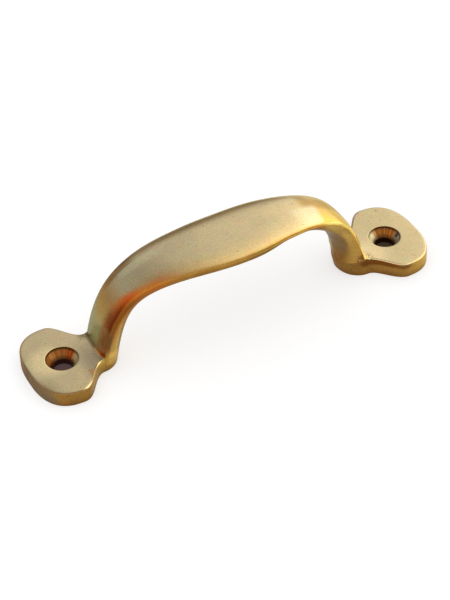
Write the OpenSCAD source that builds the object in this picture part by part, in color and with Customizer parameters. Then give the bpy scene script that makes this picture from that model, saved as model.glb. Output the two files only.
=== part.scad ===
// Cast brass bow handle: two lobed feet, each with a countersunk screw hole, and a bow between them.
// It is one casting. X runs along the handle, Y across it, and Z out from the face it is fixed to.

/* [Feet] */
// Distance between the centres of the two screw holes
hole_spacing = 95; // [80:0.5:140]
// Distance from a screw hole's centre to the outer end of its foot
foot_reach = 9.4; // [7.5:0.1:13]
// Width of a foot across its lobes
foot_width = 25.8; // [20:0.2:34]
// Thickness of a foot
foot_thickness = 4.3; // [3.4:0.1:6]
// Distance from a hole's centre inward to the widest place of its foot
lobe_offset = 0.3; // [0:0.1:2]
// Squareness of a foot's outer end, where 2 is an ellipse
lobe_squareness = 2.6; // [2:0.1:3.6]
// How far the shoulder's curve reaches towards the leg, as a part of the way
shoulder_pull = 0.4; // [0.2:0.05:0.7]
// How far the waist's curve reaches back from the leg, as a part of the way
waist_pull = 0.4; // [0.2:0.05:0.6]
// Radius of the softened edge round the top of a foot
edge_radius = 0.6; // [0.3:0.1:1]

/* [Screw holes] */
// Diameter of the hole through a foot
screw_hole_d = 5; // [3:0.1:6]
// Diameter of the countersink at the top of a foot
countersink_d = 8.5; // [6.5:0.1:10]
// Angle of the countersink's cone
countersink_angle = 82; // [75:1:100]
// Depth of the short straight wall above the cone
countersink_rim = 0.4; // [0.1:0.1:0.8]

/* [Legs] */
// Distance from a hole's centre to the outer face of the leg, at the top of the foot
leg_offset = 8.8; // [7.5:0.1:12]
// Width of a leg where it leaves the foot
leg_width = 11.4; // [9:0.2:15]
// Depth of a leg along the handle, where it leaves the foot
leg_depth = 6.5; // [5:0.1:10]
// Depth of a leg's widest line below its outer face
leg_edge = 1.2; // [0.9:0.1:2.6]
// Squareness of a leg's outer face and edges, where 2 is an ellipse
leg_squareness = 2.6; // [2.2:0.1:5]
// Squareness of a leg's inner side, where 2 is an ellipse
leg_back_squareness = 2; // [1.8:0.1:3]
// Angle at which the legs lean towards each other
leg_lean = 12; // [6:0.5:20]
// Radius of the fillet between a leg and the top of its foot
root_fillet = 0.8; // [0.4:0.1:1.4]

/* [Bow] */
// Height of the bow's outer face above the face the handle is fixed to
bow_height = 26; // [21:0.2:40]
// Width of the bow at its middle
bow_width = 19.6; // [14:0.2:26]
// Thickness of the bow at its middle
bow_thickness = 4.4; // [3.2:0.1:6]
// Depth of the bow's widest line below its outer face, at its middle
bow_edge = 2.3; // [1.4:0.1:3]
// Squareness of the bow's outer face and edges at its middle, where 2 is an ellipse
bow_squareness = 3.2; // [2.4:0.1:6]
// Squareness of the bow's underside at its middle, where 2 is an ellipse
bow_back_squareness = 2; // [1.7:0.1:3]
// How far a leg runs up before it bends over, as a part of its height
leg_fullness = 0.98; // [0.6:0.01:1]
// How far the top runs out from the middle before it bends down, as a part of half the bow
bow_fullness = 0.65; // [0.4:0.01:0.85]
// How late the bow widens from the legs, where 1 is even
width_ease = 1.7; // [0.9:0.1:2.2]
// How late the bow thins from the legs, where 1 is even
depth_ease = 1.2; // [0.4:0.1:1.6]

/* [Hidden] */

// Columns of the surface, round half of the handle from its outer end to its inner side
tip_cols = 9;
shoulder_cols = 4;
face_cols = 11;
flat_cols = 3;
back_cols = 9;
foot_cols = tip_cols + shoulder_cols;
half_cols = foot_cols + face_cols + back_cols;
ring_cols = 2 * half_cols;
leg_ring_cols = 2 * (face_cols + back_cols);

// Rows of the surface, from the ground up a foot and along half of the bow
round_rows = 3;
fillet_rows = 3;
bow_rows = 28;
root_rows = round_rows + fillet_rows + 2;

// Part of the outer face's width that the flat columns take
flat_share = 0.4;
// Part of the flank's curve that belongs to the shoulder
shoulder_share = 0.4;
// Crowding of the flank's columns towards the leg
flank_crowding = 1.8;
// Part of the face columns after which the soft edges fade, and after which the leg's side takes over
edge_fade_start = 0.4;
side_fade_start = 0.65;
// Part of the spine at which the leg's own sections start
leg_start = 0.03;
// Sides of the round cutters, and how far they pass the faces that they cut
hole_sides = 64;
overcut = 1;

hole_x = -hole_spacing / 2;
leg_x = hole_x + leg_offset;
lobe_half = foot_width / 2;
leg_half = leg_width / 2;

// The spine is the outer face's line over the left half, in X and Z
leg_rise = bow_height - foot_thickness;
spine_root = [leg_x, foot_thickness];
spine_leg = spine_root + [tan(leg_lean), 1] * leg_fullness * leg_rise;
spine_bow = [bow_fullness * leg_x, bow_height];
spine_middle = [0, bow_height];

function mix(a, b, share) = a + (b - a) * share;
function ease(share) = let (s = min(max(share, 0), 1)) s * s * (3 - 2 * s);
function swell(u, late) = pow(sin(90 * pow(u, late)), 2);
function cubic(a, b, c, d, u) =
    pow(1 - u, 3) * a + 3 * u * pow(1 - u, 2) * b + 3 * u * u * (1 - u) * c + pow(u, 3) * d;
function cubic_way(a, b, c, d, u) =
    pow(1 - u, 2) * (b - a) + 2 * u * (1 - u) * (c - b) + u * u * (d - c);
function unit(v) = v / norm(v);
function fade(col, start) = ease((col / face_cols - start) / (1 - start));

// Half a D section as [distance from the middle, depth below the outer face] points:
// a squared outer face with rounded edges down to the widest line, and then the round back
function face_turn(col, squareness) =
    let (flat_turn = asin(pow(flat_share, squareness / 2)))
    col <= flat_cols
        ? asin(pow(flat_share * col / flat_cols, squareness / 2))
        : mix(flat_turn, 90, (col - flat_cols) / (face_cols - flat_cols));
function d_section(half_width, depth, edge, squareness, back_squareness) = concat(
    [for (col = [0:face_cols])
        let (turn = face_turn(col, squareness))
        [half_width * pow(sin(turn), 2 / squareness), edge * (1 - pow(cos(turn), 2 / squareness))]],
    [for (col = [1:back_cols])
        let (turn = 90 * col / back_cols)
        [half_width * pow(cos(turn), 2 / back_squareness),
         edge + (depth - edge) * pow(sin(turn), 2 / back_squareness)]]);

// Half a ring of the bow, square to its spine, where u is 0 at the foot and 1 at the middle
function bow_ring(u) =
    let (
        at = cubic(spine_root, spine_leg, spine_bow, spine_middle, u),
        way = unit(cubic_way(spine_root, spine_leg, spine_bow, spine_middle, u)),
        form = swell(u, 1),
        section = d_section(
            mix(leg_width, bow_width, swell(u, width_ease)) / 2,
            mix(leg_depth, bow_thickness, swell(u, depth_ease)),
            mix(leg_edge, bow_edge, form),
            mix(leg_squareness, bow_squareness, form),
            mix(leg_back_squareness, bow_back_squareness, form))
    )
    [for (p = section) [at[0] + way[1] * p[1], p[0], at[1] - way[0] * p[1]]];
bow_rings = [for (row = [0:bow_rows]) bow_ring(mix(leg_start, 1, row / bow_rows))];

// The leg's first ring, and its shadow on the ground along the lean
leg_top = bow_rings[0];
leg_base = [for (p = leg_top) [p[0] - p[2] * tan(leg_lean), p[1], 0]];
side_x = leg_base[face_cols][0];
side_rise = leg_top[face_cols][2];

// Plan outline of half a foot, from its outer end over the lobe and the waist to the leg's side
lobe_x = hole_x + lobe_offset;
flank_run = side_x - lobe_x;
function flank_share(col) =
    col <= shoulder_cols
        ? shoulder_share * col / shoulder_cols
        : mix(shoulder_share, 1, 1 - pow(1 - (col - shoulder_cols) / face_cols, flank_crowding));
foot_outline = concat(
    [for (col = [0:tip_cols - 1])
        let (turn = 90 * col / tip_cols)
        [lobe_x - (foot_reach + lobe_offset) * pow(cos(turn), 2 / lobe_squareness),
         lobe_half * pow(sin(turn), 2 / lobe_squareness)]],
    [for (col = [0:shoulder_cols + face_cols])
        cubic([lobe_x, lobe_half], [lobe_x + shoulder_pull * flank_run, lobe_half],
              [side_x - waist_pull * flank_run, leg_half], [side_x, leg_half], flank_share(col))]);
function outline_before(col) =
    col == 0 ? [foot_outline[1][0], -foot_outline[1][1]] : foot_outline[col - 1];
function outline_after(col) =
    col == len(foot_outline) - 1 ? foot_outline[col] + [1, 0] : foot_outline[col + 1];
function inward(col) =
    let (way = unit(outline_after(col) - outline_before(col))) [way[1], -way[0]];

// Points between the ground and the leg's first ring, on the leg's side and on its back
low_rise = (foot_thickness - edge_radius) / side_rise;
function root_rise(row) = mix(low_rise, 1, row / root_rows);
function side_point(col, rise) =
    mix([foot_outline[foot_cols + col][0], foot_outline[foot_cols + col][1], 0], leg_top[col], rise);
function back_points(rise) =
    [for (col = [face_cols + 1:face_cols + back_cols]) mix(leg_base[col], leg_top[col], rise)];

// Half rings up the wall of a foot and over its softened edge
function edge_point(col, turn) =
    let (
        radius = edge_radius * (1 - fade(col - foot_cols, edge_fade_start)),
        plan = foot_outline[col] + inward(col) * radius * (1 - cos(turn))
    )
    [plan[0], plan[1], foot_thickness - radius + radius * sin(turn)];
function foot_ring(row) =
    let (turn = 90 * row / round_rows, rise = root_rise(row))
    concat(
        [for (col = [0:foot_cols - 1]) edge_point(col, turn)],
        [for (col = [0:face_cols])
            mix(edge_point(foot_cols + col, turn), side_point(col, rise), fade(col, side_fade_start))],
        back_points(rise));
ground_ring = concat([for (p = foot_outline) [p[0], p[1], 0]],
    [for (col = [face_cols + 1:face_cols + back_cols]) leg_base[col]]);
foot_rings = concat([ground_ring], [for (row = [0:round_rows]) foot_ring(row)]);

// Half rings of the fillet, from the top of a foot to the outer face of its leg
fillet_reach = root_fillet * tan(45 - leg_lean / 2);
lean_way = [sin(leg_lean), 0, cos(leg_lean)];
root_section = d_section(leg_half, leg_depth, leg_edge, leg_squareness, leg_back_squareness);
function fillet_point(col, share) =
    let (
        corner = [leg_x + root_section[col][1] / cos(leg_lean), root_section[col][0], foot_thickness],
        reach = fillet_reach * (1 - fade(col, edge_fade_start))
    )
    mix(mix(corner - [reach, 0, 0], corner, share), mix(corner, corner + lean_way * reach, share), share);
function fillet_ring(row) =
    let (rise = root_rise(round_rows + 1 + row))
    concat(
        [for (col = [0:face_cols])
            mix(fillet_point(col, row / fillet_rows), side_point(col, rise), fade(col, side_fade_start))],
        back_points(rise));
leg_rings = concat([for (row = [0:fillet_rows]) fillet_ring(row)], bow_rings);

// Whole rings, and the rows from the left foot over the bow to the right foot
function across(p) = [p[0], -p[1], p[2]];
function along(p) = [-p[0], p[1], p[2]];
function closed(half) = concat(half, [for (i = [len(half) - 2:-1:1]) across(half[i])]);
left_foot = [for (ring = foot_rings) each closed(ring)];
left_bow = [for (ring = leg_rings) closed(ring)];
right_bow = [for (i = [len(left_bow) - 2:-1:0]) [for (p = left_bow[i]) along(p)]];
whole_bow = concat(left_bow, right_bow);
skin_points = concat(left_foot, [for (ring = whole_bow) each ring], [for (p = left_foot) along(p)]);
bow_first = len(left_foot);
bow_last = bow_first + (len(whole_bow) - 1) * leg_ring_cols;
right_first = bow_first + len(whole_bow) * leg_ring_cols;
top_ring = (len(foot_rings) - 1) * ring_cols;

// Faces, as triangles: a patch with two corners in one place is a single triangle
function patch(a, b, c, d) = a == d ? [[a, b, c]] : b == c ? [[a, b, d]] : [[a, b, c], [a, c, d]];
function turned(faces) = [for (f = faces) [f[2], f[1], f[0]]];
function band(first, cols) =
    [for (j = [0:cols - 1])
        let (k = (j + 1) % cols)
        each patch(first + j, first + k, first + cols + k, first + cols + j)];
function strips(first, from, to) =
    [for (j = [from:to])
        each patch(first + j, first + j + 1, first + ring_cols - j - 1, first + (ring_cols - j) % ring_cols)];
function foot_faces(first) = concat(
    [for (row = [0:len(foot_rings) - 2]) each band(first + row * ring_cols, ring_cols)],
    strips(first + top_ring, 0, foot_cols - 1),
    turned(strips(first, 0, half_cols - 1)));
// The top of a foot runs into the first ring of the leg
function root_faces(foot, leg) = concat(
    [[foot + foot_cols, leg, foot + ring_cols - foot_cols]],
    [for (j = [0:face_cols + back_cols - 1])
        each patch(foot + foot_cols + j, foot + foot_cols + j + 1, leg + j + 1, leg + j)],
    [for (j = [0:face_cols + back_cols - 1])
        each patch(foot + ring_cols - foot_cols - j, leg + (leg_ring_cols - j) % leg_ring_cols,
                   leg + leg_ring_cols - j - 1, foot + ring_cols - foot_cols - j - 1)]);
skin_faces = concat(
    foot_faces(0),
    root_faces(top_ring, bow_first),
    [for (row = [0:len(whole_bow) - 2]) each band(bow_first + row * leg_ring_cols, leg_ring_cols)],
    turned(root_faces(right_first + top_ring, bow_last)),
    turned(foot_faces(right_first)));

// Depths of the countersink's cone below the top of a foot
cone_top = foot_thickness - countersink_rim;
cone_depth = (countersink_d - screw_hole_d) / 2 / tan(countersink_angle / 2);

module casting() {
    polyhedron(points = skin_points, faces = skin_faces, convexity = 6);
}

module screw_hole() {
    rotate_extrude($fn = hole_sides)
        polygon([
            [0, -overcut],
            [screw_hole_d / 2, -overcut],
            [screw_hole_d / 2, cone_top - cone_depth],
            [countersink_d / 2, cone_top],
            [countersink_d / 2, foot_thickness + overcut],
            [0, foot_thickness + overcut]
        ]);
}

module bow_handle() {
    color("#c8b27a")
        difference() {
            casting();
            for (side = [-1, 1])
                translate([side * hole_spacing / 2, 0, 0])
                    screw_hole();
        }
}

bow_handle();
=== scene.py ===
from math import asin, cos, pi, radians, sin, tan
import bpy
import numpy as np
from mathutils import Matrix
from mathutils.geometry import tessellate_polygon


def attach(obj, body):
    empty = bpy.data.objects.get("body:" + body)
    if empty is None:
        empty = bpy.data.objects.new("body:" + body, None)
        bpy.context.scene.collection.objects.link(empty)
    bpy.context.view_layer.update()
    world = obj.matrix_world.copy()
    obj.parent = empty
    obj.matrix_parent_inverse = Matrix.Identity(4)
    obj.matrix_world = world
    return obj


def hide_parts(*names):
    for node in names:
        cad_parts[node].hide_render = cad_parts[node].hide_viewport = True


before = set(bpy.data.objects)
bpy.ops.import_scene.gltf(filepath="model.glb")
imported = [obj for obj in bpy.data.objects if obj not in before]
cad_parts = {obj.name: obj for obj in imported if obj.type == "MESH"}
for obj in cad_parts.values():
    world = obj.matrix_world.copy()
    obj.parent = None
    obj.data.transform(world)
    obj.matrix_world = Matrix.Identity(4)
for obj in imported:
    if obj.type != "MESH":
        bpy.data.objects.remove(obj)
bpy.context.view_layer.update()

# The casting is worked out in millimetres: X runs along the handle, Y across it to the back, and Z up
MM = 0.001

# Sizes of the feet and their holes in millimetres and degrees, as in part.scad
HOLE_SPACING = 95.0
FOOT_REACH = 9.4
FOOT_HALF = 25.8 / 2
FOOT_THICK = 4.3
LOBE_OFFSET = 0.3
LOBE_SQUARE = 2.6
SHOULDER_PULL = 0.4
WAIST_PULL = 0.4
EDGE_RADIUS = 0.6
HOLE_R = 5.0 / 2
SINK_R = 8.5 / 2
SINK_ANGLE = 82.0
SINK_RIM = 0.4

# Sizes of the legs and the bow, as in part.scad
LEG_OFFSET = 8.8
LEG_HALF = 11.4 / 2
LEG_DEPTH = 6.5
LEG_EDGE = 1.2
LEG_SQUARE = 2.6
LEG_BACK = 2.0
LEG_LEAN = radians(12.0)
ROOT_FILLET = 0.8
BOW_HEIGHT = 26.0
BOW_HALF = 19.6 / 2
BOW_DEPTH = 4.4
BOW_EDGE = 2.3
BOW_SQUARE = 3.2
BOW_BACK = 2.0
LEG_FULL = 0.98
BOW_FULL = 0.65
WIDTH_EASE = 1.7
DEPTH_EASE = 1.2

# Where one form of the skin gives way to the next, as shares of the way along it
FLAT_PART = 0.4
SHOULDER_PART = 0.4
EDGE_FADE = 0.4
SIDE_FADE = 0.65
BOW_START = 0.03
# How the columns of the waist crowd towards the leg, where 1 is even
CROWD = 1.8

# Sizes of the dressed model alone: soft edges at the ground, round a countersink and below a bore, an even
# row of faces inside the edges of the flat faces, and the angle from which an edge is sharp
GROUND_SOFT = 0.25
LIP_FLAT = 0.4
LIP_OUT = 0.07
LIP_IN = 0.02
BORE_SOFT = 0.2
INSET = 0.6
SHARP = radians(38)

# Columns of the skin
TIP = 30  # round half a foot's outer end
SHOULDER = 12  # along its shoulder
FACE = 36  # from the middle of a leg's outer face to its edge, and along the waist below it
FLATS = 10  # those of the outer face that lie in its flat part
BACK = 30  # from the edge of the outer face to the middle of the inner side
SIDES = 144  # round a hole
FOOT = TIP + SHOULDER

# Rows of the skin
SOFT = 4  # over the soft edge at the ground
ROUND = 8  # over the softened top edge of a foot
FILLETS = 8  # up the fillet
BOW = 110  # along half the bow

hole_x = -HOLE_SPACING / 2
leg_x = hole_x + LEG_OFFSET
out_leg = np.array([-cos(LEG_LEAN), 0, sin(LEG_LEAN)])
up_leg = np.array([sin(LEG_LEAN), 0, cos(LEG_LEAN)])


def ease(x):
    """From 0 to 1, with soft ends."""
    x = np.clip(x, 0, 1)
    return x * x * (3 - 2 * x)


def ramp(x, start, full):
    """From 0 at the start to 1 at full."""
    return ease((x - start) / (full - start))


def hump(x, start, full, fading, end):
    """From 0 at the start to 1 between full and fading, and back to 0 at the end."""
    return ramp(x, start, full) * ramp(x, end, fading)


def mix(a, b, s):
    return a + (b - a) * s


def swell(u, late):
    """From 0 to 1 along the spine: the larger the second value, the later."""
    return sin(pi / 2 * u ** late) ** 2


def cubic(a, b, c, d, u):
    return (1 - u) ** 3 * a + 3 * u * (1 - u) ** 2 * b + 3 * u * u * (1 - u) * c + u ** 3 * d


def unit(vectors):
    return vectors / np.linalg.norm(vectors, axis=-1, keepdims=True)


def running_length(points):
    """Length of a line of points up to each of them."""
    return np.concatenate([[0], np.cumsum(np.linalg.norm(np.diff(points, axis=0), axis=1))])


def across(half):
    """Whole rings from half rings, by mirroring them in Y."""
    return np.concatenate([half, (half * [1, -1, 1])[:, 1:-1][:, ::-1]], 1)


def face_turn(col, square):
    """Angle of a column on the outer face's superellipse, even in distance first and in angle then."""
    if col <= FLATS:
        return asin((FLAT_PART * col / FLATS) ** (square / 2))
    return mix(asin(FLAT_PART ** (square / 2)), pi / 2, (col - FLATS) / (FACE - FLATS))


def d_section(half, depth, edge, square, back):
    """Half a D section: distances from the middle, and depths below the outer face."""
    face_turns = [face_turn(col, square) for col in range(FACE)]
    back_turns = [pi / 2 * row / BACK for row in range(1, BACK)]
    outer = [(half * sin(t) ** (2 / square), edge * (1 - cos(t) ** (2 / square))) for t in face_turns]
    inner = [(half * cos(t) ** (2 / back), mix(edge, depth, sin(t) ** (2 / back))) for t in back_turns]
    return np.array(outer + [(half, edge)] + inner + [(0, depth)])


# Spine of the left half, in X and Z
ROOT = np.array([leg_x, FOOT_THICK])
LEG_END = ROOT + np.array([tan(LEG_LEAN), 1]) * LEG_FULL * (BOW_HEIGHT - FOOT_THICK)
SPINE = (ROOT, LEG_END, np.array([BOW_FULL * leg_x, BOW_HEIGHT]), np.array([0, BOW_HEIGHT]))


def bow_ring(u):
    """Half a ring of the bow, its outward direction, and its place on the spine."""
    a, b, c, d = SPINE
    at = cubic(a, b, c, d, u)
    way = unit((1 - u) ** 2 * (b - a) + 2 * u * (1 - u) * (c - b) + u * u * (d - c))
    half = mix(LEG_HALF, BOW_HALF, swell(u, WIDTH_EASE))
    depth = mix(LEG_DEPTH, BOW_DEPTH, swell(u, DEPTH_EASE))
    form = swell(u, 1)
    section = d_section(half, depth, mix(LEG_EDGE, BOW_EDGE, form), mix(LEG_SQUARE, BOW_SQUARE, form),
                        mix(LEG_BACK, BOW_BACK, form))
    aside, below = section.T
    ring = np.stack([at[0] + way[1] * below, aside, at[1] - way[0] * below], 1)
    return ring, np.array([-way[1], 0, way[0]]), at


rings = [bow_ring(mix(BOW_START, 1, row / BOW)) for row in range(BOW + 1)]
leg_top = rings[0][0]
leg_base = leg_top - up_leg * (leg_top[:, 2] / up_leg[2])[:, None]


def foot_outline():
    """Plan outline of half the left foot: its round end, its shoulder and its waist up to the leg's side."""
    lobe_x = hole_x + LOBE_OFFSET
    side_x = leg_base[FACE, 0]
    run = side_x - lobe_x
    plan = []
    for col in range(TIP):
        t = pi / 2 * col / TIP
        plan.append((lobe_x - (FOOT_REACH + LOBE_OFFSET) * cos(t) ** (2 / LOBE_SQUARE),
                     FOOT_HALF * sin(t) ** (2 / LOBE_SQUARE)))
    shoulder = [SHOULDER_PART * col / SHOULDER for col in range(SHOULDER + 1)]
    waist = [mix(SHOULDER_PART, 1, 1 - (1 - col / FACE) ** CROWD) for col in range(1, FACE + 1)]
    for u in shoulder + waist:
        plan.append((cubic(lobe_x, lobe_x + SHOULDER_PULL * run, side_x - WAIST_PULL * run, side_x, u),
                     cubic(FOOT_HALF, FOOT_HALF, LEG_HALF, LEG_HALF, u)))
    return np.array(plan)


def inward_of(loop):
    """Unit normals of a plan loop that point into it."""
    way = np.roll(loop, -1, 0) - np.roll(loop, 1, 0)
    return unit(np.stack([way[:, 1], -way[:, 0]], 1))


# Half rings of the foot, from the ground up over the softened edge
outline = foot_outline()
half_loop = np.concatenate([outline, leg_base[FACE + 1:, :2]])
footprint = np.column_stack([half_loop, np.zeros(len(half_loop))])
plan_in = inward_of(across(footprint[None])[0])[:len(footprint)]
steps = np.linspace((FOOT_THICK - EDGE_RADIUS) / leg_top[FACE, 2], 1, ROUND + FILLETS + 3)
flank = np.arange(FACE + 1) / FACE
side_fade = ramp(flank, SIDE_FADE, 1)[:, None]
edge_fade = ramp(flank, EDGE_FADE, 1)
radius = EDGE_RADIUS * (1 - np.concatenate([np.zeros(FOOT), edge_fade]))


def up_side(step):
    """The flank's columns on their way from the ground to the leg's outer face."""
    return mix(footprint[FOOT:len(outline)], leg_top[:FACE + 1], steps[step])


def up_back(step):
    """The inner side's columns on their way from the ground to the leg."""
    return mix(leg_base[FACE + 1:], leg_top[FACE + 1:], steps[step])


def top_edge_row(row):
    """Half ring of a foot's softened top edge, from its side to its top."""
    t = pi / 2 * row / ROUND
    inward = plan_in[:len(outline)] * (radius * (1 - cos(t)))[:, None]
    ring = np.column_stack([outline + inward, FOOT_THICK - radius + radius * sin(t)])
    ring[FOOT:] = mix(ring[FOOT:], up_side(row), side_fade)
    return np.concatenate([ring, up_back(row)])


def ground_edge_row(row, above):
    """Half ring of a foot's soft edge at the ground, from its underside to its side."""
    t = pi / 2 * row / SOFT
    lift = GROUND_SOFT * (1 - cos(t))
    ring = mix(footprint, above, (lift / above[:, 2])[:, None])
    ring[:, :2] += plan_in * (GROUND_SOFT * (1 - sin(t)))
    ring[:, 2] = lift
    return ring


top_edge = [top_edge_row(row) for row in range(ROUND + 1)]
foot_rows = across(np.array([ground_edge_row(row, top_edge[0]) for row in range(SOFT + 1)] + top_edge))

# Half rings of the fillet in the corner between the foot's top and the leg's outer face
aside, below = d_section(LEG_HALF, LEG_DEPTH, LEG_EDGE, LEG_SQUARE, LEG_BACK)[:FACE + 1].T
corner = np.stack([leg_x + below / cos(LEG_LEAN), aside, np.full(FACE + 1, FOOT_THICK)], 1)
reach = (ROOT_FILLET * tan(pi / 4 - LEG_LEAN / 2) * (1 - edge_fade))[:, None]


def fillet_row(row):
    """Half ring of the fillet, from the foot's top to the leg."""
    s = row / FILLETS
    on_top, on_leg = corner - [1, 0, 0] * reach, corner + up_leg * reach
    ring = (1 - s) ** 2 * on_top + 2 * s * (1 - s) * corner + s * s * on_leg
    step = ROUND + 1 + row
    return np.concatenate([mix(ring, up_side(step), side_fade), up_back(step)])


bow_rows = across(np.array([fillet_row(row) for row in range(FILLETS + 1)] + [ring for ring, *_ in rings]))

# Skin of the left half: points, the outward direction of the nearest ground face at each, faces and materials
points, outs, faces, kinds = [], [], [], []
UP, DOWN = [0, 0, 1], [0, 0, -1]
SATIN, TURNED = 0, 1


def add_points(rows, out):
    """Adds points and returns the number of the first."""
    first = len(points)
    points.extend(np.asarray(rows).reshape(-1, 3))
    outs.extend(np.broadcast_to(out, (len(points) - first, 3)))
    return first


def add_face(loop, kind=SATIN):
    """Adds a face, without the points that it names twice in a row."""
    loop = [i for n, i in enumerate(loop) if i != loop[n - 1]]
    if len(loop) > 2:
        faces.append(loop)
        kinds.append(kind)


def band(lower, upper, count, kind=SATIN):
    """Adds the faces between two rings, given by their first points."""
    for j in range(count):
        k = (j + 1) % count
        add_face([lower + j, upper + j, upper + k, lower + k], kind)


def flat_fill(outer, inner, up):
    """Fills the flat ring between two loops of point numbers."""
    both = outer + inner
    for triangle in tessellate_polygon([[(*points[i][:2], 0.0) for i in loop] for loop in (outer, inner)]):
        a, b, c = (both[i] for i in triangle)
        to_b, to_c = points[b] - points[a], points[c] - points[a]
        turns_left = to_b[0] * to_c[1] - to_b[1] * to_c[0] > 0
        add_face([a, b, c] if turns_left == up else [a, c, b])


def flat_face(loop, hole_first, up):
    """Fills a foot's flat face between its edge and its hole, with an even row of faces along the edge."""
    ring = np.array([points[i] for i in loop])
    ring[:, :2] -= unit(ring[:, :2] - [hole_x, 0]) * INSET
    inner = add_points(ring, UP if up else DOWN)
    for j in range(len(loop)):
        k = (j + 1) % len(loop)
        quad = [loop[j], inner + j, inner + k, loop[k]]
        add_face(quad if up else quad[::-1])
    flat_fill([inner + j for j in range(len(loop))], [hole_first + j for j in range(SIDES)], up)


foot_count, bow_count = foot_rows.shape[1], bow_rows.shape[1]
foot_starts = [add_points(row, UP) for row in foot_rows]
for lower, upper in zip(foot_starts, foot_starts[1:]):
    band(lower, upper, foot_count)
fillet_outs = [unit(mix(np.array(UP), out_leg, row / FILLETS)) for row in range(FILLETS + 1)]
bow_starts = [add_points(row, out) for row, out in zip(bow_rows, fillet_outs + [out for _, out, _ in rings])]
for lower, upper in zip(bow_starts, bow_starts[1:]):
    band(lower, upper, bow_count)
foot_top, leg_root, middle = foot_starts[-1], bow_starts[0], bow_starts[-1]
for j in range(FACE + BACK):
    k = j + 1
    foot_j, foot_k = (foot_top + foot_count - FOOT - n for n in (j, k))
    leg_j, leg_k = (leg_root + (bow_count - n) % bow_count for n in (j, k))
    add_face([foot_top + FOOT + j, leg_root + j, leg_root + k, foot_top + FOOT + k])
    add_face([foot_j, foot_k, leg_k, leg_j])

# Hole of the left foot: its soft lip, its straight rim, its cone in four rows, and its bore
cone_top = FOOT_THICK - SINK_RIM
cone_depth = (SINK_R - HOLE_R) / tan(radians(SINK_ANGLE / 2))
profile = [(SINK_R + LIP_FLAT, FOOT_THICK), (SINK_R + LIP_OUT, FOOT_THICK)]
profile += [(SINK_R + LIP_IN, FOOT_THICK - LIP_IN), (SINK_R, FOOT_THICK - LIP_OUT), (SINK_R, cone_top)]
profile += [(mix(SINK_R, HOLE_R, s), cone_top - cone_depth * s) for s in (0.25, 0.5, 0.75, 1)]
profile += [(HOLE_R, 4 * BORE_SOFT), (HOLE_R, BORE_SOFT), (HOLE_R + BORE_SOFT, 0)]
turns = np.arange(SIDES) * 2 * pi / SIDES
hole_starts = [add_points(np.stack([hole_x + r * np.cos(turns), r * np.sin(turns), np.full(SIDES, z)], 1), UP)
               for r, z in profile]
for row, (upper, lower) in enumerate(zip(hole_starts, hole_starts[1:])):
    band(lower, upper, SIDES, TURNED if row else SATIN)
top_columns = [*range(foot_count - FOOT, foot_count), *range(FOOT + 1)]
flat_face([foot_top + col for col in top_columns] + [leg_root], hole_starts[0], True)
flat_face([foot_starts[0] + col for col in range(foot_count)], hole_starts[-1], False)

# Places that the brushing, the patina and the painted light follow: lengthways and crossways in millimetres,
# and crossways as a share, which is 0 on the feet, 1 or -1 at the edges of the outer face and about 2 or -2
# on the inner side
points, outs = np.array(points), np.array(outs)
lay = np.stack([points[:, 0] - leg_x, points[:, 1], np.zeros(len(points))], 1)
spine = np.array([at for _, _, at in rings])
length = running_length(spine) + np.linalg.norm(spine[0] - ROOT)
fillet_length = length[0] * np.arange(FILLETS + 1) / (FILLETS + 1)
for first, row, lengthways in zip(bow_starts, bow_rows, [*fillet_length, *length]):
    girth = running_length(row[:FACE + BACK + 1])
    crossways = np.concatenate([girth, -girth[1:-1][::-1]])
    lay[first:first + bow_count, 0] = lengthways
    lay[first:first + bow_count, 1] = crossways
    lay[first:first + bow_count, 2] = crossways / girth[FACE]

# The right half is the left half's mirror image, and both share the middle ring
kept = np.array([i for i in range(len(points)) if not middle <= i < middle + bow_count])
match = np.arange(len(points))
match[kept] = len(points) + np.arange(len(kept))
right_faces = [[int(match[i]) for i in loop][::-1] for loop in faces]
points = np.concatenate([points, points[kept] * [-1, 1, 1]])
outs = np.concatenate([outs, outs[kept] * [-1, 1, 1]])
lay = np.concatenate([lay, lay[kept] * [-1, 1, 1] + [2 * length[-1], 0, 0]])
faces, kinds = faces + right_faces, kinds + kinds

# Unevenness of the casting in millimetres: a thinner back at the right bend, a waist and a belly of the near
# edge, a hollow of the far edge, and a right leg that is slimmer half way up and spreads towards the ground
x, y, z = points.T.copy()
cross = np.abs(lay[:, 2])
near, far = np.maximum(-y, 0) / BOW_HALF, np.maximum(y, 0) / BOW_HALF
raised = ramp(z, 12, 16)
thinner_back = 1.05 * hump(x, 5, 14, 18, 27) * ramp(cross, 0.92, 1.14) * ramp(y, 2, -4)
waist = 0.35 * hump(x, 8, 14, 18, 25) * raised * near
belly = 0.55 * hump(x, -18, -1, 2, 12) * raised * near
hollow = 0.5 * hump(x, -24, -10, -1, 13) * raised * far
slimmer_leg = 0.45 * hump(z, 7, 11, 14, 19) * ramp(cross, 1.2, 1.7) * (x > 20)
spread_inward = 0.6 * ramp(z, 7, 2) * ramp(x, 35, 32) * (x > 28)
spread_near = 1.0 * hump(x, 27, 33, 41, 46) * ramp(y, 0, -4) * np.clip(1 - z / 7.5, 0, 1) ** 2
points += outs * thinner_back[:, None]
points[:, 0] += slimmer_leg - spread_inward
points[:, 1] += waist - belly - hollow - spread_near

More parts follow.
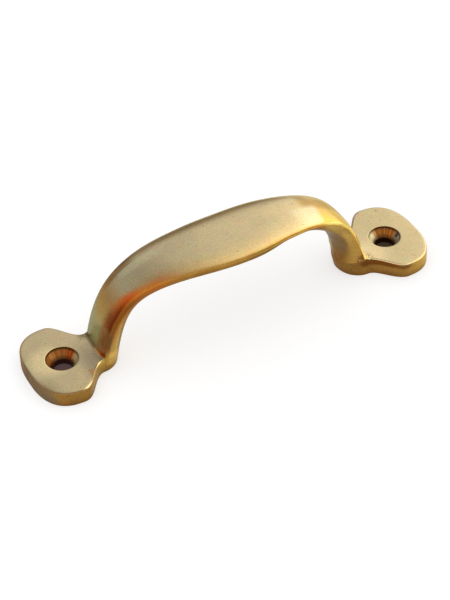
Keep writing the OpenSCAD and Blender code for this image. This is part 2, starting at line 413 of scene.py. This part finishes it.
mesh = bpy.data.meshes.new("bow_handle_skin")
mesh.from_pydata((points * MM).tolist(), [], faces)
mesh.validate()
mesh.polygons.foreach_set("use_smooth", [True] * len(mesh.polygons))
mesh.polygons.foreach_set("material_index", kinds)
mesh.update()
mesh.set_sharp_from_angle(angle=SHARP)
normals = np.zeros(len(points) * 3, np.float32)
mesh.vertices.foreach_get("normal", normals)
facing = (normals.reshape(-1, 3) * outs).sum(1)
finish = mesh.attributes.new("finish", "FLOAT", "POINT")
finish.data.foreach_set("value", ramp(facing, 0.6, 0.98).astype(np.float32))
brushing = mesh.attributes.new("lay", "FLOAT_VECTOR", "POINT")
brushing.data.foreach_set("vector", (lay * [MM, MM, 1]).astype(np.float32).ravel())
handle = bpy.data.objects.new("bow_handle_casting", mesh)
bpy.context.scene.collection.objects.link(handle)
weighted = handle.modifiers.new("even_normals", "WEIGHTED_NORMAL")
weighted.keep_sharp = True


class Tree:
    """A short way to write a node tree. What goes in is a number, a colour or another node's output."""

    def __init__(self, owner):
        owner.use_nodes = True
        self.nodes = owner.node_tree.nodes
        self.links = owner.node_tree.links
        self.nodes.clear()

    def node(self, kind, inputs=(), **settings):
        """Outputs of a new node, whose inputs are given by name or number."""
        new = self.nodes.new(kind)
        for name, value in settings.items():
            setattr(new, name, value)
        for key, value in dict(inputs).items():
            socket = new.inputs[key]
            if isinstance(value, bpy.types.NodeSocket):
                self.links.new(value, socket)
            else:
                socket.default_value = (*value, 1) if socket.type == "RGBA" else value
        return new.outputs

    def maths(self, operation, *values):
        return self.node("ShaderNodeMath", enumerate(values), operation=operation)[0]

    def product(self, first, *others):
        for other in others:
            first = self.maths("MULTIPLY", first, other)
        return first

    def most(self, first, *others):
        for other in others:
            first = self.maths("MAXIMUM", first, other)
        return first

    def between(self, value, low, high, to_low, to_high, how="SMOOTHSTEP"):
        """Turns the range from low to high into that from to_low to to_high."""
        inputs = enumerate((value, low, high, to_low, to_high))
        return self.node("ShaderNodeMapRange", inputs, interpolation_type=how)[0]

    def ramp(self, value, start, full, share=1.0):
        """From 0 at the start to the share at full."""
        return self.between(value, start, full, 0.0, share)

    def hump(self, value, start, full, fading, end, share=1.0):
        """From 0 at the start to the share between full and fading, and back to 0 at the end."""
        return self.product(self.ramp(value, start, full, share), self.ramp(value, end, fading))

    def blend(self, share, a, b, how="MIX"):
        return self.node("ShaderNodeMix", {0: share, 6: a, 7: b}, data_type="RGBA", blend_type=how)[2]

    def patch(self, base, colour, *shares):
        """The colour over the base, where all the shares say so."""
        return self.blend(self.product(*shares), base, colour)

    def noise(self, vector, scale, detail, rough=0.5, output="Fac"):
        inputs = {"Vector": vector, "Scale": scale, "Detail": detail, "Roughness": rough}
        return self.node("ShaderNodeTexNoise", inputs)[output]

    def scaled(self, vector, size):
        return self.node("ShaderNodeMapping", {"Vector": vector, "Scale": size})[0]

    def apart(self, vector):
        return self.node("ShaderNodeSeparateXYZ", {"Vector": vector})

    def flat(self, x, y):
        return self.node("ShaderNodeCombineXYZ", {"X": x, "Y": y})[0]

    def distance(self, x, y, at):
        inputs = {0: self.flat(x, y), 1: (*at, 0)}
        return self.node("ShaderNodeVectorMath", inputs, operation="DISTANCE")["Value"]

    def along(self, vector, way):
        """How far a vector reaches along a direction."""
        return self.node("ShaderNodeVectorMath", {0: vector, 1: way}, operation="DOT_PRODUCT")["Value"]

    def places(self):
        """The place on the object in metres, and its X, Y and Z in millimetres."""
        place = self.node("ShaderNodeTexCoord")["Object"]
        return place, *self.apart(self.scaled(place, (1 / MM, 1 / MM, 1 / MM)))

    def metal(self, colour, metallic, roughness, relief, strength, depth):
        """Finishes a material, with a fine relief whose depth is in millimetres."""
        bump = {"Strength": strength, "Distance": depth * MM, "Height": relief}
        normal = self.node("ShaderNodeBump", bump)[0]
        surface = {"Base Color": colour, "Metallic": metallic, "Roughness": roughness, "Normal": normal}
        shader = self.node("ShaderNodeBsdfPrincipled", surface)[0]
        self.node("ShaderNodeOutputMaterial", {"Surface": shader})


# Directions on the ground, to the right and to the back as the photograph sees them
TO_RIGHT = (0.89, -0.45, 0)
TO_BACK = (0.45, 0.89, 0)
WHITE = (1.0, 1.0, 1.0)


class SatinTree(Tree):
    """The node tree of the casting's skin, with the values that its patches share.

    The values x, y and z are in millimetres, and so is far_off, which runs from the right hole to the back.
    The value cross is the crossways share of lay, negative on the near side. The value ground is 1 on the
    faces that were ground flat and 0 on the cast sides. The noises are scaled per metre.
    """

    def __init__(self, material):
        super().__init__(material)
        self.place, self.x, self.y, self.z = self.places()
        off_hole = self.maths("SUBTRACT", self.x, HOLE_SPACING / 2)
        self.far_off = self.along(self.flat(off_hole, self.y), TO_BACK)
        self.lay = self.node("ShaderNodeAttribute", attribute_name="lay")["Vector"]
        self.cross = self.apart(self.lay)["Z"]
        self.ground = self.node("ShaderNodeAttribute", attribute_name="finish")["Fac"]
        self.cloud = self.noise(self.place, 70, 3)
        self.mottle = self.noise(self.place, 260, 4, 0.6)
        self.speckle = self.noise(self.place, 2600, 2, 0.7)
        self.grain = self.noise(self.scaled(self.lay, (700, 9000, 0)), 1.0, 3, 0.6)


def cast_sides(t):
    """Cast sides: gold to brown, with mottles and painted reflections, and darker at the ground with painted
    shade.
    """
    x, y, z, cross = t.x, t.y, t.z, t.cross
    side = t.blend(t.ramp(t.cloud, 0.35, 0.65), (0.66, 0.45, 0.14), (0.58, 0.37, 0.11))
    # Bright gold low on the left foot's waist and on the inner side of the leg above it: a painted reflection
    inner_side = t.most(t.ramp(z, 7, 4.5), t.ramp(cross, -1.1, -1.5))
    side = t.patch(side, (0.80, 0.60, 0.18), t.ramp(inner_side, 0, 1, 0.9), t.hump(x, -46, -43.5, -26, -22),
                   t.ramp(z, 21, 17))
    # Copper beside the near edge of the left bend: a painted reflection
    side = t.patch(side, (0.85, 0.32, 0.06), t.ramp(cross, -1.45, -1.15, 0.8), t.hump(x, -35, -32, -26, -20),
                   t.ramp(z, 12, 18))
    # Grey near half of the right leg's inner side, painted shade low on the leg, and a bright gold painted
    # reflection on its other sides
    side = t.patch(side, (0.41, 0.34, 0.23), t.ramp(cross, -1.35, -1.6, 0.9), t.ramp(x, 24, 26),
                   t.ramp(z, 5.2, 10))
    side = t.patch(side, (0.42, 0.25, 0.09), t.hump(x, 24, 27, 34.5, 36.5), t.ramp(z, 8.5, 4, 0.45))
    side = t.patch(side, (1.0, 0.80, 0.28), t.ramp(cross, -1.5, -1.2), t.ramp(x, 24, 27), t.ramp(z, 4, 7.5))
    # Painted shade, streaked, under the near edge of the right foot
    streaks = t.noise(t.scaled(t.place, (2600, 2600, 900)), 1.0, 2)
    streaks = t.between(streaks, 0.4, 0.6, 0.55, 1.0)
    side = t.patch(side, (0.24, 0.11, 0.035), t.ramp(streaks, 0, 1, 0.9), t.hump(x, 35.5, 37, 46, 50),
                   t.ramp(y, -3, -5), t.hump(z, 2.6, 3.3, 4.4, 5.2))
    # Brown painted shade on the near side of the left leg's root, and grey low on the outer end of the left
    # foot
    side = t.patch(side, (0.30, 0.19, 0.06), t.ramp(cross, -0.9, -1.05, 0.5),
                   t.hump(x, -39, -37.5, -33.5, -30), t.hump(z, 4.6, 6.2, 11, 15))
    side = t.patch(side, (0.34, 0.29, 0.18), t.ramp(x, -53, -55.5), t.ramp(z, 3.2, 2))
    # Mottles, and painted shade along the ground
    side = t.patch(side, (0.36, 0.19, 0.055), t.ramp(t.mottle, 0.45, 0.75, 0.6))
    return t.patch(side, (0.22, 0.11, 0.035), t.ramp(z, 2.2, 0, 0.45))


def turned_in_edges(t):
    """Edges between ground faces and cast sides, with painted highlights."""
    x, z, cross = t.x, t.z, t.cross
    # Painted highlights along the right half's far edge, down the right leg's near edge and round the left
    # foot's inner half
    edge = t.patch((0.66, 0.46, 0.145), (0.85, 0.76, 0.42), t.ramp(cross, 0.55, 0.75), t.ramp(x, -18, -10))
    edge = t.patch(edge, (1.0, 0.90, 0.42), t.ramp(x, 27, 31), t.ramp(cross, -0.6, -0.9), t.ramp(z, 7, 15))
    return t.patch(edge, (1.0, 0.96, 0.60), t.hump(x, -48, -46, -39.5, -37), t.ramp(z, 2.5, 3.4))


def bow_painted_light_and_tarnish(t, face):
    """Painted reflections and highlights on the outer face of the bow and the right leg, with some tarnish
    along the far edge.
    """
    x, z, cross = t.x, t.z, t.cross
    # Gold along the near edge: a painted reflection
    face = t.patch(face, (0.66, 0.51, 0.25), t.ramp(cross, -0.5, -0.9, 0.65), t.ramp(x, 20, 10))
    # A brown band along the left bend's far edge, partly tarnish and partly a painted reflection, a painted
    # highlight beside it, and a faint brown line further on, again partly tarnish and partly a painted
    # reflection
    face = t.patch(face, (0.36, 0.22, 0.085), t.hump(cross, 0.38, 0.54, 0.76, 0.96, 0.85),
                   t.hump(x, -34, -30.5, -27, -22.5))
    face = t.patch(face, (0.76, 0.67, 0.39), t.hump(cross, 0, 0.25, 0.38, 0.52, 0.7),
                   t.hump(x, -31, -27, -21.5, -15))
    face = t.patch(face, (0.45, 0.35, 0.14), t.hump(cross, 0.5, 0.65, 0.78, 0.92, 0.3),
                   t.hump(x, -20, -13, 6, 14))
    # A painted highlight over the near half before the right bend, and a gold painted reflection from the
    # bend down the leg
    wavy_x = t.maths("ADD", x, t.between(t.cloud, 0.3, 0.7, -1.6, 1.6, "LINEAR"))
    face = t.patch(face, (0.76, 0.69, 0.43), t.ramp(x, 16, 22), t.ramp(cross, 0.1, -0.15), t.ramp(z, 8, 12))
    face = t.patch(face, (0.76, 0.52, 0.125), t.ramp(wavy_x, 24, 26.5), t.ramp(z, 6, 8))
    # Painted reflections on the right bend: brown over its middle, a beige painted highlight along its far
    # edge, and brownish gold beside that
    face = t.patch(face, (0.44, 0.30, 0.085), t.ramp(wavy_x, 20, 22.5, 0.95),
                   t.hump(cross, -0.1, 0.2, 0.5, 0.75), t.ramp(x, 32.5, 28.5))
    face = t.patch(face, (0.62, 0.51, 0.32), t.ramp(cross, 0.3, 0.52, 0.9), t.ramp(x, 23.5, 27.5),
                   t.ramp(z, 11, 16))
    return t.patch(face, (0.50, 0.33, 0.08), t.hump(cross, -0.3, 0.05, 0.35, 0.55, 0.85),
                   t.ramp(wavy_x, 23.8, 26.4), t.ramp(z, 11, 16))


def foot_painted_light(t, face):
    """Painted highlights, shade and reflections on the tops of the feet and the outer face of the left leg.
    """
    x, y, z = t.x, t.y, t.z
    # Painted highlights beside the left hole and at the right root
    beside_hole = t.distance(x, y, (-50.7, 0.5))
    by_root = t.distance(x, y, (39.5, -4))
    face = t.patch(face, (0.84, 0.71, 0.38), t.ramp(beside_hole, 7, 3, 0.9), t.ramp(z, 7, 5.5))
    face = t.patch(face, (0.78, 0.66, 0.38), t.ramp(by_root, 8, 2, 0.9), t.ramp(z, 7, 5.5))
    # Painted shade towards the left root, and darker at the near side of the left foot's outer end
    face = t.patch(face, (0.35, 0.30, 0.185), t.hump(x, -46, -41, -38, -37, 0.95), t.ramp(y, 6, -4),
                   t.ramp(z, 6, 5))
    face = t.patch(face, (0.36, 0.29, 0.16), t.ramp(x, -51, -56.5, 0.9), t.ramp(y, -3, -8.5))
    # Painted reflections on the left leg: a greener far half and a copper near half
    on_leg = t.hump(x, -39, -37.5, -34.5, -32.5)
    face = t.patch(face, (0.67, 0.73, 0.44), on_leg, t.ramp(y, -3, -0.5), t.ramp(z, 19, 12))
    return t.patch(face, (0.64, 0.29, 0.08), on_leg, t.ramp(y, -0.5, -3), t.ramp(z, 16, 6))


def edge_painted_light_and_tarnish(t, colour):
    """Painted reflections, painted shade and tarnish that run over the edges between faces and sides."""
    x, y, z, cross = t.x, t.y, t.z, t.cross
    # A copper painted reflection along the near edge of the left leg and bend, brighter at the top
    copper = t.blend(t.ramp(z, 18, 23), (0.43, 0.18, 0.038), (0.80, 0.335, 0.07))
    colour = t.patch(colour, copper, t.hump(cross, -0.55, -0.85, -1.05, -1.25, 0.9), t.ramp(x, -15, -24),
                     t.ramp(z, 6, 11))
    # A gold painted reflection over the right root's near half, and a brown line along the near edge, right
    # of the bow's middle, partly tarnish and partly a painted reflection
    colour = t.patch(colour, (0.90, 0.65, 0.19), t.hump(x, 32.5, 34.5, 38.8, 40),
                     t.ramp(cross, -0.2, -0.5, 0.9))
    colour = t.patch(colour, (0.44, 0.30, 0.09), t.hump(cross, -0.78, -0.92, -1.05, -1.15, 0.6),
                     t.hump(x, -1, 2.5, 10.5, 14))
    # Fillet of the left root: painted shade in its far half and a copper painted reflection in its near half
    colour = t.patch(colour, (0.26, 0.17, 0.07), t.hump(x, -39.2, -38.8, -38.4, -37.8, 0.4),
                     t.ramp(y, -1.2, 0.2), t.hump(z, 4.1, 4.5, 5.2, 6))
    colour = t.patch(colour, (0.90, 0.50, 0.17), t.hump(x, -39.4, -38.9, -38, -37.4, 0.55),
                     t.hump(y, -0.4, -1.4, -3.4, -4), t.hump(z, 4.1, 4.5, 5.4, 6.4))
    # Brown spot on the near edge of the left foot, by its waist
    return t.patch(colour, (0.42, 0.27, 0.11), t.hump(x, -44, -43.2, -42.4, -41.8, 0.8),
                   t.ramp(y, -6.6, -7.4), t.ramp(z, 4, 4.3))


def foot_oxide_and_painted_light(t, colour):
    """Dull oxide along the edges of the feet, with painted highlights and painted shade: the colour with
    them, and the share of the metal that they dull.
    """
    x, y, z, ground = t.x, t.y, t.z, t.ground
    on_foot = t.ramp(z, 5.6, 4.8)
    on_edge = t.product(on_foot, t.hump(ground, 0.02, 0.12, 0.75, 0.95))
    on_side = t.ramp(ground, 0.15, 0.05)
    # Grey brown round the outer end of the left foot, except at the back
    end_edge = t.product(on_edge, t.ramp(x, -46.2, -48))
    end_side = t.product(on_side, t.ramp(x, -52.5, -56.5, 0.9))
    left_end = t.product(t.ramp(y, 8, 2), t.most(end_edge, end_side))
    grey_brown = t.blend(t.ramp(t.mottle, 0.35, 0.65), (0.25, 0.175, 0.085), (0.18, 0.13, 0.065))
    colour = t.patch(colour, grey_brown, left_end)
    # Brown along the far edge of the right foot
    far_edge = t.product(on_foot, t.hump(ground, 0.02, 0.12, 0.96, 1), t.ramp(x, 37, 39, 0.8),
                         t.ramp(t.far_off, 3.5, 7))
    colour = t.patch(colour, (0.30, 0.22, 0.10), far_edge)
    # A cream painted highlight along its near edge, and hatched painted shade under that
    near_edge_highlight = t.product(on_edge, t.ramp(x, 36.2, 37, 0.9), t.ramp(t.far_off, 0, -3))
    rising = t.maths("ADD", z, t.product(t.maths("SUBTRACT", 37, x), 0.12))
    hatch = t.between(t.noise(t.scaled(t.place, (5200, 5200, 1500)), 1.0, 1), 0.42, 0.58, 0.55, 1.0)
    under_edge_shade = t.product(on_side, t.ramp(rising, 2, 2.6), t.hump(x, 36.6, 37.4, 42.5, 47),
                           t.ramp(t.far_off, 0, -3), hatch)
    brown = t.blend(t.ramp(x, 43, 50), (0.30, 0.13, 0.022), (0.74, 0.48, 0.14))
    shade_to_highlight = t.blend(t.ramp(ground, 0.14, 0.38), brown, (1.0, 0.93, 0.62))
    colour = t.patch(colour, shade_to_highlight, t.most(near_edge_highlight, under_edge_shade))
    # Painted shade on the left leg's near edge, just above its root
    root_shade = t.product(t.hump(x, -39.6, -38.6, -36, -34.5, 0.9), t.ramp(y, -1.8, -3.4),
                          t.hump(z, 5, 7.5, 10, 13), t.hump(t.cross, -0.3, -0.45, -1, -1.1))
    colour = t.patch(colour, (0.185, 0.080, 0.022), root_shade)
    # A cream painted highlight along the near edge of the left foot's inner half
    cream_highlight = t.product(on_foot, t.hump(ground, 0.06, 0.2, 0.85, 0.98, 0.85),
                           t.hump(x, -48, -46.2, -39.6, -38.6), t.ramp(y, -4.2, -5.2))
    colour = t.patch(colour, (1.0, 0.88, 0.56), cream_highlight)
    return colour, t.most(left_end, far_edge, near_edge_highlight, root_shade, t.product(cream_highlight, 0.5))


def rough_spots(t, colour):
    """Rough gold with painted glints, and rust at the roots, and sparse pits all over."""
    x, y, z = t.x, t.y, t.z
    # Rough gold with painted glints at the near corner of the right root
    glint = t.ramp(t.noise(t.place, 2300, 2, 0.6), 0.46, 0.56)
    colour = t.patch(colour, t.blend(glint, (0.34, 0.16, 0.04), (1.0, 0.74, 0.30)),
                     t.hump(x, 35.2, 36, 37.6, 38.6, 0.8), t.ramp(y, -3, -4.2), t.hump(z, 4, 4.3, 5.6, 7.8))
    pits = t.noise(t.place, 1500, 1)
    colour = t.patch(colour, (0.12, 0.07, 0.03), t.ramp(pits, 0.72, 0.78, 0.6))
    # Rust at the same corner, and at the far corner of the left root
    rust = t.noise(t.place, 2400, 3, 0.7)
    colour = t.patch(colour, (0.20, 0.10, 0.03), t.ramp(rust, 0.46, 0.6, 0.8),
                     t.hump(x, 35.5, 37, 39.5, 41.5), t.ramp(y, -2, -4.5), t.hump(z, 1.5, 3, 5, 7.5))
    return t.patch(colour, (0.16, 0.12, 0.06), t.between(rust, 0.4, 0.6, 0.3, 0.9),
                   t.hump(x, -41.5, -39.5, -38.5, -37), t.ramp(y, 3, 4.8), t.hump(z, 3, 4, 4.8, 6))


def satin_brass():
    """The skin: brass that was ground along the handle, with its cast sides left rough, and painted
    reflections, highlights and shade in its colour.
    """
    material = bpy.data.materials.new("satin_brass")
    t = SatinTree(material)
    beige = t.blend(t.ramp(t.cloud, 0.35, 0.65), (0.635, 0.53, 0.30), (0.57, 0.49, 0.28))
    colour = t.blend(t.ramp(t.ground, 0, 0.45), cast_sides(t), turned_in_edges(t))
    # Beige ground faces, with the painted reflections, highlights and shade of the bow and the feet
    colour = t.blend(t.ramp(t.ground, 0.35, 1), colour, foot_painted_light(t, bow_painted_light_and_tarnish(t, beige)))
    # Painted light and tarnish along the edges, then oxide with painted highlights and shade on the feet
    colour, oxide = foot_oxide_and_painted_light(t, edge_painted_light_and_tarnish(t, colour))
    colour = rough_spots(t, colour)
    # Fine grain and a faint play of colour over all
    for noise, spread in ((t.speckle, 0.14), (t.grain, 0.06)):
        bright = t.between(noise, 0.25, 0.75, 1 - spread, 1 + spread, "LINEAR")
        colour = t.blend(1.0, colour, bright, "MULTIPLY")
    tint = t.blend(1.0, t.noise(t.place, 420, 2, output="Color"), (2.0, 2.0, 2.0), "MULTIPLY")
    colour = t.blend(0.10, colour, tint, "MULTIPLY")
    # Metal is dulled under the oxide and under the painted highlights and shade of the feet
    metallic = t.between(oxide, 0, 1, 1.0, 0.2, "LINEAR")
    roughness = t.between(t.ground, 0, 1, 0.17, 0.20)
    roughness = t.maths("ADD", roughness, t.between(t.mottle, 0.2, 0.8, -0.03, 0.04))
    brushed = t.product(t.grain, t.between(t.ground, 0, 1, 0.1, 0.5))
    relief = t.maths("ADD", brushed, t.product(t.speckle, t.between(t.ground, 0, 1, 0.8, 0.4)))
    t.metal(colour, metallic, roughness, relief, strength=0.25, depth=0.04)
    return material


def turned_brass():
    """The countersinks and bores, with the tints that their walls show in the photograph, among them painted
    highlights and painted shade.
    """
    material = bpy.data.materials.new("turned_brass")
    t = Tree(material)
    place, x, y, z = t.places()
    on_right = t.ramp(x, -1, 1)
    off_hole = t.maths("ADD", x, t.between(x, -1, 1, HOLE_SPACING / 2, -HOLE_SPACING / 2))
    spoke = t.node("ShaderNodeVectorMath", {0: t.flat(off_hole, y)}, operation="NORMALIZE")["Vector"]
    to_right, to_back = t.along(spoke, TO_RIGHT), t.along(spoke, TO_BACK)
    chatter = t.noise(t.scaled(spoke, (7, 7, 0)), 1.0, 3, 0.6)
    grooves = t.noise(t.scaled(place, (0, 0, 5200)), 1.0, 2)
    wall = t.blend(t.ramp(chatter, 0.38, 0.62), (0.74, 0.53, 0.22), (0.50, 0.32, 0.12))
    # A pale painted highlight on the left wall, a greyer right wall that is grooved in the left hole, and a
    # streaky brown back wall
    at_left = t.ramp(to_right, -0.55, -0.72, 0.95)
    at_right = t.ramp(to_right, 0.55, 0.75, 0.95)
    grooved = t.blend(t.ramp(grooves, 0.4, 0.6), (0.70, 0.62, 0.33), (0.40, 0.33, 0.16))
    wall = t.patch(wall, t.blend(on_right, (0.86, 0.52, 0.20), (1.0, 0.95, 0.52)), at_left)
    wall = t.patch(wall, t.blend(on_right, grooved, (0.36, 0.36, 0.26)), at_right)
    wall = t.patch(wall, t.blend(on_right, (0.36, 0.13, 0.035), (0.38, 0.14, 0.03)),
                   t.ramp(to_back, 0.45, 0.8, 0.95), t.between(chatter, 0.4, 0.52, 0.45, 1.0))
    # Dark notch in the right wall of the right hole
    wall = t.patch(wall, (0.07, 0.06, 0.04), on_right, t.hump(to_right, 0.80, 0.88, 0.93, 0.98),
                   t.ramp(to_back, 0.05, 0.2), t.ramp(z, 2.5, 3.1))
    # Painted shade at the cone's lower end, on the rim and in the bore
    wall = t.patch(wall, (0.10, 0.055, 0.025), t.ramp(z, 2.9, 2, 0.85))
    wall = t.patch(wall, (0.13, 0.07, 0.025), t.ramp(z, 3.4, 3.9, 0.85))
    colour = t.blend(t.ramp(z, 1, 2.6), (0.17, 0.09, 0.06), wall)
    dull = t.product(t.ramp(z, 1.8, 2.6), t.most(t.product(at_left, on_right), t.product(at_right, 0.5)))
    metallic = t.between(dull, 0, 1, 1.0, 0.15, "LINEAR")
    relief = t.maths("ADD", grooves, t.product(chatter, 0.6))
    t.metal(colour, metallic, 0.28, relief, strength=0.5, depth=0.06)
    return material


mesh.materials.append(satin_brass())
mesh.materials.append(turned_brass())
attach(handle, "root")
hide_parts("bow_handle")

# Camera at the photograph's angle, in degrees, millimetres and pixels
AZIMUTH = radians(-26.822)
ELEVATION = radians(41.838)
ROLL = radians(-2.13)
DISTANCE = 507.51
FOCAL_PIXELS = 1993.55
PICTURE_HEIGHT = 600
SENSOR = 36
TARGET = np.array([-4.381, -6.748, 10.0])

back = np.array([sin(AZIMUTH) * cos(ELEVATION), -cos(AZIMUTH) * cos(ELEVATION), sin(ELEVATION)])
right = np.array([cos(AZIMUTH), sin(AZIMUTH), 0])
upward = np.cross(right, -back)
pose = np.eye(4)
pose[:3, 0] = right * cos(ROLL) + upward * sin(ROLL)
pose[:3, 1] = upward * cos(ROLL) - right * sin(ROLL)
pose[:3, 2] = back
pose[:3, 3] = (TARGET + back * DISTANCE) * MM
camera_data = bpy.data.cameras.new("camera")
camera_data.sensor_width = SENSOR
camera_data.lens = FOCAL_PIXELS / PICTURE_HEIGHT * SENSOR
camera_data.clip_start = 0.01
camera = bpy.data.objects.new("camera", camera_data)
camera.matrix_world = Matrix(pose.tolist())
bpy.context.scene.collection.objects.link(camera)
bpy.context.scene.camera = camera


def white_paper():
    """Paper that is white in the picture, while what the brass mirrors of it is toned, with painted shade
    under the bores.
    """
    material = bpy.data.materials.new("white_paper")
    t = Tree(material)
    _, x, y, _ = t.places()
    rays = t.node("ShaderNodeLightPath")
    # Warm in front and greyer behind, and pale gold at the right end
    tone = t.blend(t.ramp(y, 0, 12), (0.46, 0.36, 0.26), (0.40, 0.36, 0.32))
    tone = t.patch(tone, (0.90, 0.80, 0.48), t.ramp(x, 43, 63))
    # Dark copper at the left end with paler brown behind it, and a bright spot by the left leg
    off_line = t.along(t.flat(t.maths("ADD", x, 37), y), (0.63, 0.78, 0))
    browns = t.blend(t.ramp(off_line, -6, 5), (0.24, 0.07, 0.025), (0.50, 0.32, 0.155))
    tone = t.patch(tone, browns, t.ramp(x, -40, -75), t.ramp(y, -12, -2))
    tone = t.patch(tone, (1.0, 0.90, 0.62), t.ramp(t.distance(x, y, (-29, -9)), 9, 3, 0.9))
    tone = t.blend(rays["Is Glossy Ray"], WHITE, tone)
    # Painted shade under the bores
    hole_shade = t.ramp(t.distance(t.maths("ABSOLUTE", x), y, (HOLE_SPACING / 2, 0)), 4.5, 3.5)
    tone = t.patch(tone, t.blend(t.ramp(x, -10, 10), (0.1, 0.06, 0.06), (0.055, 0.036, 0.022)), hole_shade)
    seen = t.most(rays["Is Camera Ray"], rays["Is Glossy Ray"], rays["Is Transmission Ray"])
    glow = t.node("ShaderNodeEmission", {"Color": tone, "Strength": t.product(seen, 0.6)})[0]
    dimmed = t.blend(1.0, tone, (0.45, 0.45, 0.45), "MULTIPLY")
    diffuse = t.node("ShaderNodeBsdfDiffuse", {"Color": dimmed})[0]
    t.node("ShaderNodeOutputMaterial", {"Surface": t.node("ShaderNodeAddShader", {0: glow, 1: diffuse})[0]})
    return material


# Floor, just below the feet
FLOOR_HALF = 1500 * MM
FLOOR_DROP = 0.02 * MM
floor_mesh = bpy.data.meshes.new("floor")
floor_corners = [(-1, -1), (1, -1), (1, 1), (-1, 1)]
floor_mesh.from_pydata([(x * FLOOR_HALF, y * FLOOR_HALF, 0) for x, y in floor_corners], [], [(0, 1, 2, 3)])
floor_mesh.materials.append(white_paper())
floor = bpy.data.objects.new("floor", floor_mesh)
floor.location.z = -FLOOR_DROP
bpy.context.scene.collection.objects.link(floor)


def studio():
    """A white world, in which the brass mirrors a toned room."""
    world = bpy.data.worlds.new("studio")
    t = Tree(world)
    ray = t.node("ShaderNodeTexCoord")["Generated"]
    up = t.apart(ray)["Z"]

    def toward(azimuth, elevation, none, full, share=1.0):
        """How far a ray points to a place on the sky: from 0 at one cosine to the share at the other."""
        a, e = radians(azimuth), radians(elevation)
        return t.ramp(t.along(ray, (cos(a) * cos(e), sin(a) * cos(e), sin(e))), none, full, share)

    def disc(azimuth, elevation, inner, outer, share=1.0):
        """The share within the inner angle round a place on the sky, fading to 0 at the outer angle."""
        return toward(azimuth, elevation, cos(radians(outer)), cos(radians(inner)), share)

    # Walls that are warm below and cool above, and a warm ceiling
    room = t.blend(t.ramp(up, 0.05, 0.5), (0.42, 0.32, 0.20), (0.47, 0.48, 0.50))
    room = t.patch(room, (0.50, 0.39, 0.31), t.ramp(up, 0.64, 0.91))
    # A pale half at the back right, and a broad bright light on the right
    room = t.patch(room, (0.95, 0.90, 0.94), toward(40, -10, 0.11, 0.88))
    room = t.patch(room, (1.88, 1.66, 1.30), disc(-2, 30, 3, 62))
    # A warm screen at the front left, with a copper and a dark place on its left
    screen = t.product(toward(231, 0, -0.04, 0.07), t.ramp(up, 1, 0.6))
    room = t.patch(room, (0.64, 0.50, 0.33), screen)
    room = t.patch(room, (0.66, 0.20, 0.06), screen, disc(160, 18, 32, 58))
    room = t.patch(room, (0.30, 0.10, 0.045), screen, disc(176, -7, 18, 38))
    # A dark place behind
    room = t.patch(room, (0.22, 0.15, 0.08), disc(80, 8, 14, 30, 0.85))
    shown = t.blend(t.node("ShaderNodeLightPath")["Is Glossy Ray"], WHITE, room)
    t.node("ShaderNodeOutputWorld", {"Surface": t.node("ShaderNodeBackground", {"Color": shown})[0]})
    return world


bpy.context.scene.world = studio()
bpy.context.scene.view_settings.view_transform = "Standard"
